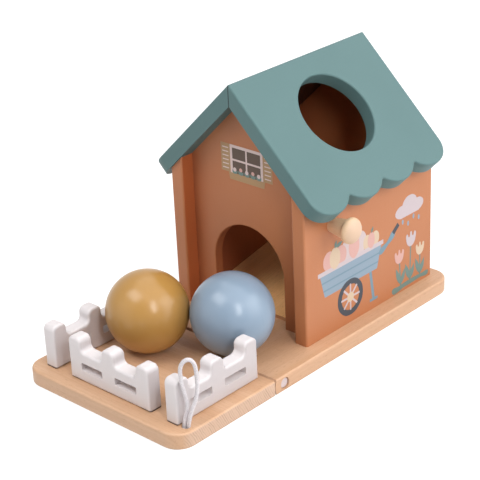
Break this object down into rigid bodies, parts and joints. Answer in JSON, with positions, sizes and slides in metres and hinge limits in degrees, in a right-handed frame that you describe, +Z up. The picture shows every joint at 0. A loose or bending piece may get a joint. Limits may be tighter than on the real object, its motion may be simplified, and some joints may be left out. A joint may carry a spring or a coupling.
{
  "type": "ball drop toy",
  "caption": "Wooden ball-drop barn with a hole in its roof, an arched door, a fenced yard that folds up, a knob, an elastic loop and balls.",
  "frame": {"origin": "middle of the whole footprint, house and unfolded yard, on the ground", "axes": "+Z up, -Y towards the yard's front edge, +X to the side with the roof hole and the knob"},
  "size_m": [0.1398, 0.2504, 0.1625],
  "materials": {
    "beech": "fine-sanded, clear oil",
    "pin_wood": "fine-sanded",
    "knob_wood": "turned, clear oil",
    "terracotta_paint": "matt water-based paint",
    "sage_paint": "satin water-based paint",
    "white_paint": "satin water-based paint",
    "ochre_paint": "satin paint",
    "blue_paint": "satin paint",
    "elastic": "woven elastic cord",
    "screw_steel": "zinc plated"
  },
  "bodies": {
    "house": {"house_base": "beech", "hinge_pin_right": "pin_wood", "hinge_pin_left": "pin_wood", "wall_right": "terracotta_paint", "wall_left": "terracotta_paint", "gable_front": "terracotta_paint", "gable_rear": "terracotta_paint", "roof_right": "sage_paint", "roof_left": "sage_paint", "ramp": "beech", "ramp_block": "beech", "knob": "knob_wood", "wall_screws": "screw_steel", "gable_dowels": "pin_wood", "roof_dowels": "pin_wood"},
    "yard": {"yard_base": "beech", "fence_right": "white_paint", "fence_left": "white_paint", "fence_front": "white_paint", "elastic_loop": "elastic", "loop_knot": "elastic", "fence_screws": "screw_steel"},
    "ochre_ball": {"ball_ochre": "ochre_paint"},
    "blue_ball": {"ball_blue": "blue_paint"}
  },
  "joints": [
    {"name": "yard_fold", "type": "hinge", "parent": "house", "child": "yard", "pos_m": [0, -0.0388, 0.005], "axis": [-1, 0, 0], "range_deg": [0, 90]},
    {"name": "ochre_ball_lift", "type": "slide", "parent": "house", "child": "ochre_ball", "axis": [0, 0, 1], "range_m": [0, 0.175]},
    {"name": "blue_ball_lift", "type": "slide", "parent": "house", "child": "blue_ball", "axis": [0, 0, 1], "range_m": [0, 0.175]}
  ],
  "couplings": [
    {"joint": "ochre_ball_lift", "follows": "yard_fold", "m_per_rad": 0.11},
    {"joint": "blue_ball_lift", "follows": "yard_fold", "m_per_rad": 0.11}
  ]
}
